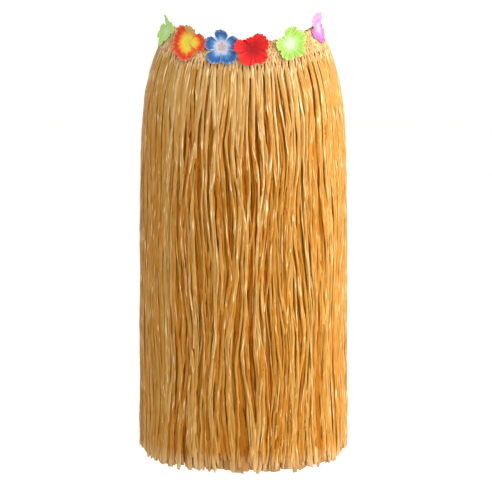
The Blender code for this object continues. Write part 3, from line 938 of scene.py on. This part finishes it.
def printed_cloth(name, flower):
    """Polyester: colours from middle to rim, another tint between petals, painted shade in vein grooves, a
    pale back.
    """
    material = bpy.data.materials.new(name)
    material.use_nodes = True
    tree = material.node_tree
    shader = tree.nodes["Principled BSDF"]
    reach = add_node(tree, "ShaderNodeAttribute", attribute_name="reach")
    petal = add_node(tree, "ShaderNodeAttribute", attribute_name="petal")
    back = add_node(tree, "ShaderNodeAttribute", attribute_name="back")
    uv = add_node(tree, "ShaderNodeUVMap", uv_map="UVMap")
    bleed = add_node(tree, "ShaderNodeTexNoise", {
        "Vector": uv.outputs["UV"], "Scale": 14.0, "Detail": 4.0,
    })
    moved = add_node(tree, "ShaderNodeMath", {
        0: bleed.outputs["Fac"], 1: BLEED, 2: -BLEED / 2,
    }, operation="MULTIPLY_ADD")
    place = add_node(tree, "ShaderNodeMath", {
        0: reach.outputs["Fac"], 1: moved.outputs[0],
    }, operation="ADD")
    ramp = add_node(tree, "ShaderNodeValToRGB", {"Fac": place.outputs[0]})
    elements = ramp.color_ramp.elements
    while len(elements) < len(flower["rings"]):
        elements.new(0.5)
    for element, (at, hex_value) in zip(elements, flower["rings"]):
        element.position = at
        element.color = colour(hex_value)
    gap_tint, gap_edge = flower["gap"]
    gap = add_node(tree, "ShaderNodeMapRange", {
        "Value": petal.outputs["Fac"], "From Min": gap_edge, "From Max": gap_edge - 0.35, "To Max": 0.9,
    })
    tinted = add_node(tree, "ShaderNodeMix", {
        "Factor": gap.outputs["Result"], "A": ramp.outputs["Color"], "B": colour(gap_tint),
    }, data_type="RGBA")
    centred = add_node(tree, "ShaderNodeMapping", {"Vector": uv.outputs["UV"], "Location": (-0.5, -0.5, 0)})
    flat = add_node(tree, "ShaderNodeSeparateXYZ", {"Vector": centred.outputs["Vector"]})
    # painted shade: the cloth is darker along cos(37 a), in the grooves between the pressed veins
    polar = add_node(tree, "ShaderNodeMath", {
        0: flat.outputs["Y"], 1: flat.outputs["X"],
    }, operation="ARCTAN2")
    spun = add_node(tree, "ShaderNodeMath", {0: polar.outputs[0], 1: VEINS_ROUND}, operation="MULTIPLY")
    vein = add_node(tree, "ShaderNodeMath", {0: spun.outputs[0]}, operation="COSINE")
    shade = add_node(tree, "ShaderNodeMapRange", {
        "Value": vein.outputs[0], "From Min": -1.0, "To Min": 1 - flower["vein_painted_shade"], "To Max": 1.0,
    })
    lined = add_node(tree, "ShaderNodeMix", {
        "Factor": 1.0, "A": tinted.outputs["Result"], "B": shade.outputs["Result"],
    }, data_type="RGBA", blend_type="MULTIPLY")
    turned = add_node(tree, "ShaderNodeMix", {
        "Factor": back.outputs["Fac"], "A": lined.outputs["Result"], "B": colour(flower["reverse"]),
    }, data_type="RGBA")
    weave = add_node(tree, "ShaderNodeTexNoise", {
        "Vector": uv.outputs["UV"], "Scale": 2000 * FLOWER_RADIUS / THREAD_MM, "Detail": 2.0,
    })
    bump = add_node(tree, "ShaderNodeBump", {
        "Height": weave.outputs["Fac"], "Strength": 0.4, "Distance": 0.0002,
    })
    tree.links.new(turned.outputs["Result"], shader.inputs["Base Color"])
    tree.links.new(bump.outputs["Normal"], shader.inputs["Normal"])
    shader.inputs["Roughness"].default_value = 0.6
    shader.inputs["Specular IOR Level"].default_value = 0.15
    return material


# %% [markdown]
# Every flower was squashed differently in its packet. Each petal below has its place in degrees from the
# right, its half width in degrees, its reach (1 is 32.5 mm) and its curl in radians.

# %% The six flowers, from left to right
FLOWERS = (
    {"name": "flower_pale_green", "node": "flower_green", "degrees": -74.0, "drop": 0.0098, "ruffle": 0.0005,
     "core": 0.50, "seed": 0.4, "vein_painted_shade": 0.20, "reverse": "B8BAA4", "gap": ("B4B59F", 0.5),
     "petals": ((104, 34, 0.90, 0.22, 0), (36, 34, 0.88, 0.12, 0), (-34, 37, 0.55, 0.15, 0),
                (-108, 35, 0.82, 0.2, 0), (188, 37, 1.06, 0.50, 0)),
     "rings": ((0.0, "BCCBA6"), (0.35, "AACB80"), (0.7, "9CC662"), (1.0, "A8CA7E"))},
    {"name": "flower_orange_red", "node": "flower_orange", "degrees": -42.4, "drop": 0.0112, "ruffle": 0.0011,
     "core": 0.76, "seed": 1.7, "vein_painted_shade": 0.12, "reverse": "B08E50", "gap": ("C86A2C", 0.25),
     "petals": ((84, 28, 0.98, 0.45, 1), (12, 36, 1.10, 0.15, 0), (-90, 38, 0.97, 0.2, 0),
                (-148, 34, 0.94, 0.25, 0),
                (170, 26, 0.94, 0.25, 0), (132, 32, 0.96, 0.3, 0)),
     "rings": ((0.0, "BCAE34"), (0.36, "D0BC40"), (0.52, "D49A30"), (0.66, "CC5622"), (0.78, "BE3218"),
               (0.92, "C4482C"), (1.0, "CC7A66"))},
    {"name": "flower_blue_white", "node": "flower_blue", "degrees": -15.8, "drop": 0.0068, "ruffle": 0.0005,
     "core": 0.60, "seed": 2.9, "vein_painted_shade": 0.28, "reverse": "8C95B2", "gap": ("B4B9CE", 0.5),
     "petals": ((90, 33, 0.95, 0.5, 0), (20, 33, 1.02, 0.05, 0), (-50, 37, 1.07, 0.12, 0),
                (-116, 33, 1.03, 0.2, 0),
                (170, 35, 0.89, 0.3, 0)),
     "rings": ((0.0, "A89592"), (0.20, "AC9D9C"), (0.30, "B8B9CB"), (0.42, "9CAACB"), (0.54, "4E80AE"),
               (0.74, "285690"), (0.88, "30588E"), (1.0, "7C8EB8"))},
    {"name": "flower_bright_red", "node": "flower_red", "degrees": 6.5, "drop": 0.0083, "ruffle": 0.0012,
     "core": 0.72, "seed": 4.1, "vein_painted_shade": 0.20, "reverse": "A32A23", "gap": ("9A0E12", 0.3),
     "petals": ((106, 24, 0.70, 0.9, 0), (38, 48, 0.92, 0.5, 0), (-54, 33, 0.93, 0.45, 0),
                (-120, 38, 0.99, 0.45, 0),
                (170, 30, 1.03, 0.45, 0)),
     "rings": ((0.0, "80060E"), (0.35, "A00E14"), (0.65, "C01A1C"), (1.0, "C82A26"))},
    {"name": "flower_lime_green", "node": "flower_lime", "degrees": 34.8, "drop": 0.0096, "ruffle": 0.0010,
     "core": 0.62, "seed": 5.3, "vein_painted_shade": 0.26, "reverse": "90AE60", "gap": ("9EB888", 0.3),
     "petals": ((88, 31, 1.00, 0.6, 0), (19, 38, 0.98, 0.3, 0), (-46, 36, 0.89, 0.35, 0),
                (-120, 35, 0.91, 0.35, 0),
                (171, 32, 0.87, 0.4, 0)),
     "rings": ((0.0, "A8B2A4"), (0.20, "A8BEA2"), (0.44, "98BA76"), (0.70, "84AE42"), (1.0, "98B860"))},
    # The mauve between this flower's petals and at its rim is painted shade on the petal edges.
    {"name": "flower_lilac_pink", "node": "flower_pink", "degrees": 72.5, "drop": 0.0030, "ruffle": 0.0005,
     "core": 0.55, "seed": 0.9, "vein_painted_shade": 0.26, "reverse": "A47FA0", "gap": ("987098", 0.45),
     "petals": ((62, 36, 0.86, 0.10, 0.9), (-22, 34, 0.70, 0.10, 0.2), (-100, 38, 0.80, 0.08, 0),
                (-164, 34, 0.80, 0.10, 0), (122, 36, 1.0, 0.1, 0.9)),
     "rings": ((0.0, "BEA6BE"), (0.26, "BE9EBE"), (0.46, "AC70B2"), (0.8, "9C58A8"), (1.0, "946A96"))},
)
for flower in FLOWERS:
    cloth = printed_cloth(f"printed_polyester_{flower['name']}", flower)
    piece = make_flower(flower, cloth)
    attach(piece, "root")
    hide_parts(flower["node"])
